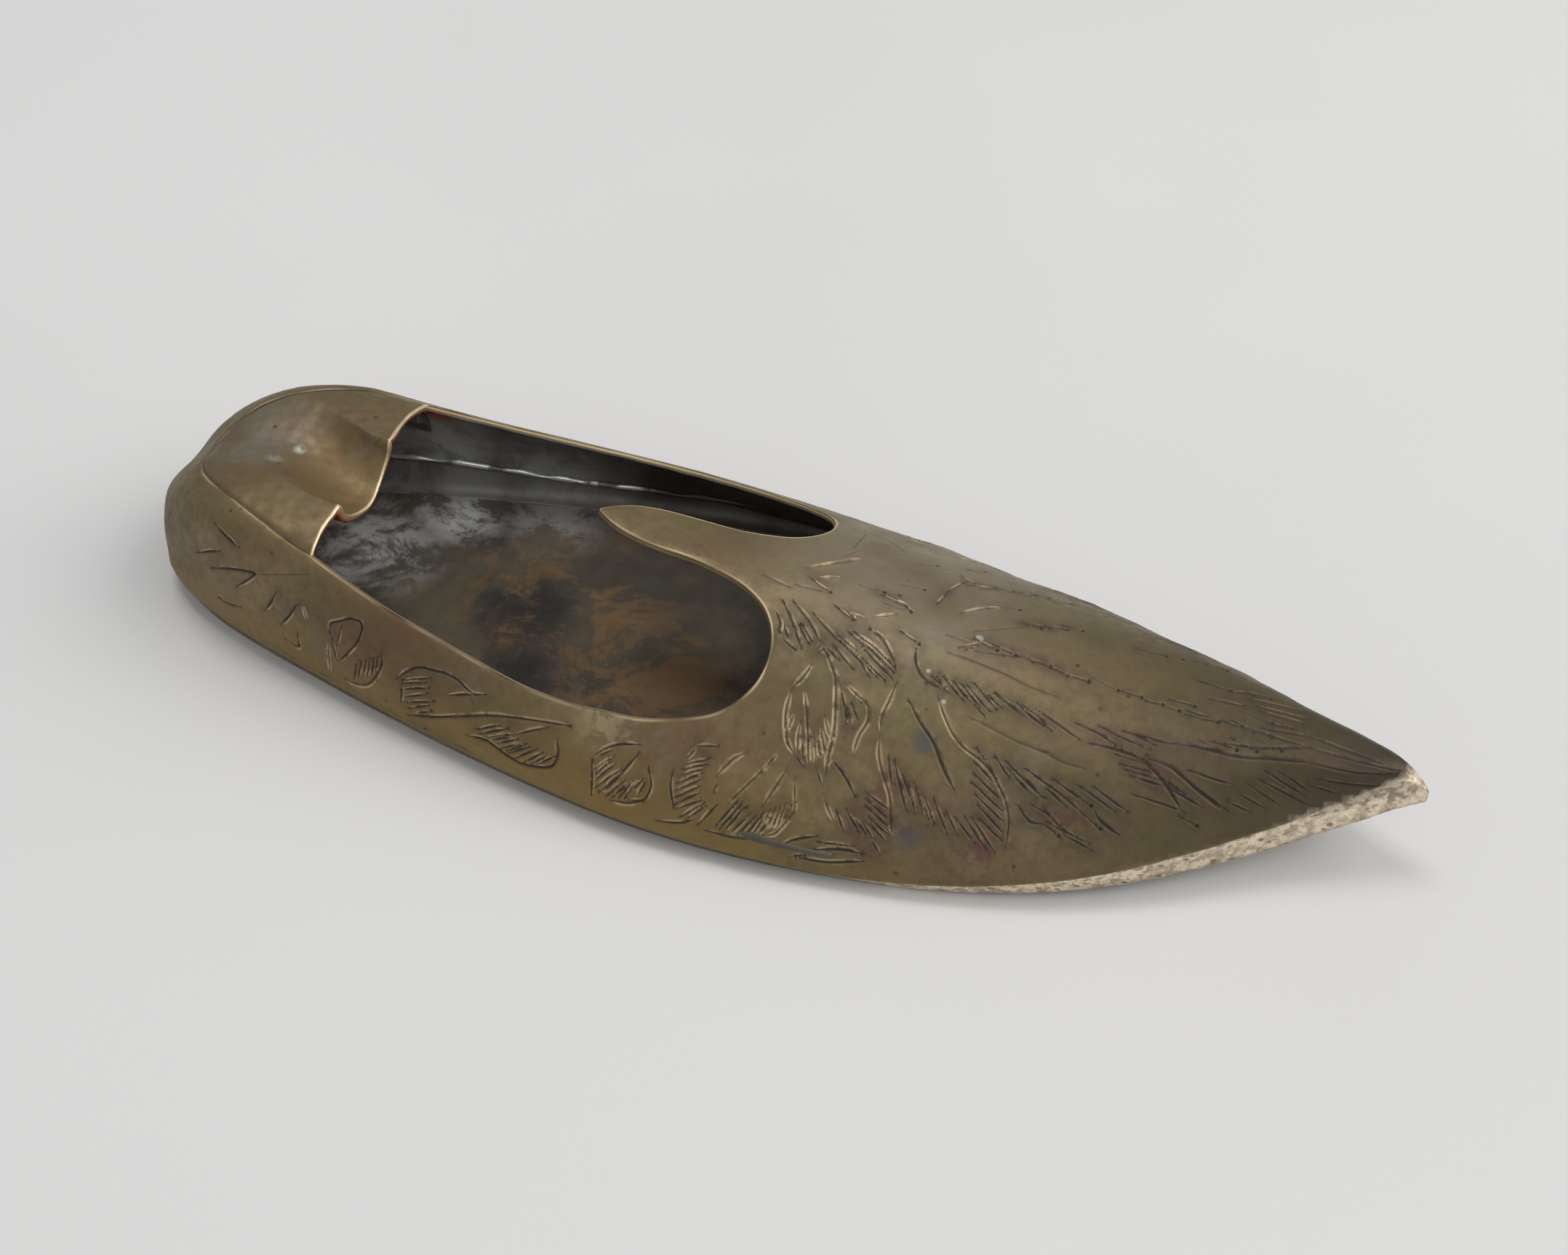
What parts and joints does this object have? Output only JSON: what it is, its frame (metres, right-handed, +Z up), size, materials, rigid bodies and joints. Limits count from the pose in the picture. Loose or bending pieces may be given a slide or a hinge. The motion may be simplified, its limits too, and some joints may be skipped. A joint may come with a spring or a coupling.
{
  "type": "slipper ashtray",
  "caption": "Pointed slipper-shaped cast brass ashtray with an open well, a tongued toe cover and a half-round cigarette groove in its flat heel rest.",
  "frame": {"origin": "bottom centre of the bounding box, on the flat sole", "axes": "+X from heel to toe, +Y to the far side with the toe at the right, +Z up"},
  "size_m": [0.148, 0.053, 0.021],
  "materials": {
    "patinated_brass": "old satin cast brass with brown-gold patina and hand engraving",
    "sole_brass": "pitted, filed edge; dark sooty floor inside",
    "sooted_solder": "smooth solder, dark with soot"
  },
  "bodies": {
    "root": {"upper_shell": "patinated_brass", "sole_plate": "sole_brass", "heel_rest": "patinated_brass", "sole_solder_fillet": "sooted_solder", "heel_solder_fillet": "sooted_solder"}
  },
  "joints": []
}
